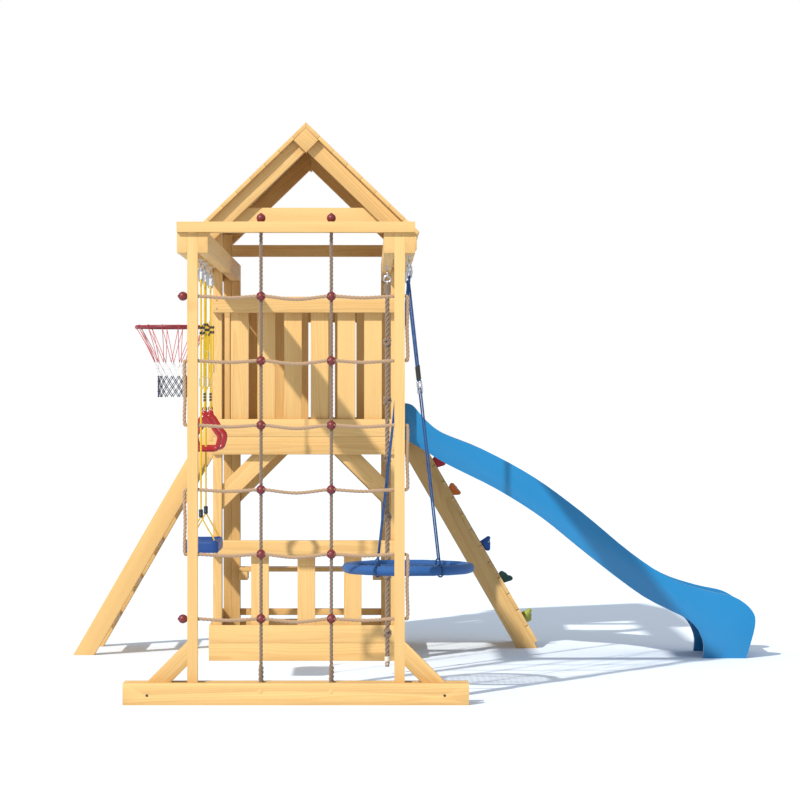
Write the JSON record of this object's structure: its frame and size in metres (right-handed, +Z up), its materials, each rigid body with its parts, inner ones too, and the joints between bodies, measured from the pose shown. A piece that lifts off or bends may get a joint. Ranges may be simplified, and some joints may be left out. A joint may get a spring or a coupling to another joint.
{
  "type": "garden play tower with climbing walls",
  "caption": "Timber play tower with roof, deck, ladder, slide, climbing wall with holds, rope net wall, swing beams with seat, rings, nest and rope, hoop, bench and sandbox.",
  "frame": {"origin": "middle of the underside of the front sill board, on the ground", "axes": "+X to the slide side, +Y from the rope net towards the tower, +Z up"},
  "size_m": [3.4988, 3.494, 2.715],
  "materials": {
    "pine": "planed, lightly oiled",
    "rope_tan": "twisted rope",
    "rope_brown": "twisted rope",
    "rope_yellow": "braided rope",
    "rope_blue": "braided rope",
    "dark_red_plastic": "moulded",
    "sky_blue_plastic": "blow-moulded, satin",
    "seat_blue": "moulded",
    "ring_red": "moulded, glossy",
    "hoop_red": "powder coated",
    "net_cord": "knotted cord",
    "nest_cover": "padded sleeve",
    "nest_cord": "woven cord",
    "zinc_steel": "zinc plated",
    "dark_steel": "black coated",
    "hold_olive": "cast resin, grainy",
    "hold_dark_green": "cast resin, grainy",
    "hold_blue": "cast resin, grainy",
    "hold_orange": "cast resin, grainy",
    "hold_red": "cast resin, grainy"
  },
  "bodies": {
    "root": {"net_posts": "pine", "net_sills": "pine", "net_sill_braces": "pine", "net_top_cap": "pine", "left_swing_beam": "pine", "right_swing_beam": "pine", "beam_spacers": "pine", "net_zigzag_rope": "rope_tan", "net_upright_ropes": "rope_brown", "net_connectors": "dark_red_plastic", "net_stop_balls": "dark_red_plastic", "tower_posts": "pine", "beam_props": "pine", "deck_frame": "pine", "deck_boards": "pine", "deck_aprons": "pine", "deck_braces": "pine", "upper_front_rail": "pine", "upper_front_pickets": "pine", "upper_back_guard": "pine", "side_guard_frames": "pine", "side_guard_pickets": "pine", "low_front_rail": "pine", "low_front_pickets": "pine", "sandbox_boards": "pine", "bench": "pine", "rafters": "pine", "collar_tie": "pine", "back_tie": "pine", "ridge_blocks": "pine", "roof_boards_left": "pine", "roof_boards_right": "pine", "ladder_rails": "pine", "ladder_treads": "pine", "climbing_wall_rails": "pine", "climbing_wall_boards": "pine", "climbing_hold_1": "hold_olive", "climbing_hold_2": "hold_dark_green", "climbing_hold_3": "hold_blue", "climbing_hold_4": "hold_orange", "climbing_hold_5": "hold_red", "climbing_hold_bolts": "zinc_steel", "slide": "sky_blue_plastic", "hoop_ring": "hoop_red", "hoop_net": "net_cord", "hanger_eyes": "zinc_steel", "frame_bolts": "dark_steel"},
    "seat_swing": {"seat_carabiners": "zinc_steel", "seat_ropes": "rope_yellow", "swing_seat": "seat_blue"},
    "near_ring": {"near_ring_rope": "rope_yellow", "near_hand_ring": "ring_red"},
    "far_ring": {"far_ring_rope": "rope_yellow", "far_hand_ring": "ring_red"},
    "nest_swing": {"nest_ropes": "rope_blue", "nest_rim": "nest_cover", "nest_web": "nest_cord"},
    "climbing_rope_body": {"climbing_rope_fitting": "zinc_steel", "climbing_rope": "rope_brown", "climbing_rope_knots": "rope_brown"}
  },
  "joints": [
    {"name": "seat_swing_hinge", "type": "hinge", "parent": "root", "child": "seat_swing", "pos_m": [-0.45, 0.898, 1.909], "axis": [0, 1, 0], "range_deg": [-35, 35]},
    {"name": "near_ring_hinge", "type": "hinge", "parent": "root", "child": "near_ring", "pos_m": [-0.45, 1, 1.909], "axis": [0, 1, 0], "range_deg": [-30, 30]},
    {"name": "far_ring_hinge", "type": "hinge", "parent": "root", "child": "far_ring", "pos_m": [-0.45, 1.5175, 1.909], "axis": [0, 1, 0], "range_deg": [-30, 30]},
    {"name": "nest_swing_hinge", "type": "hinge", "parent": "root", "child": "nest_swing", "pos_m": [0.495, 0.5775, 1.909], "axis": [0, 1, 0], "range_deg": [-25, 25]},
    {"name": "climbing_rope_hinge", "type": "hinge", "parent": "root", "child": "climbing_rope_body", "pos_m": [0.405, 1.4275, 1.909], "axis": [0, 1, 0], "range_deg": [-20, 20]}
  ]
}
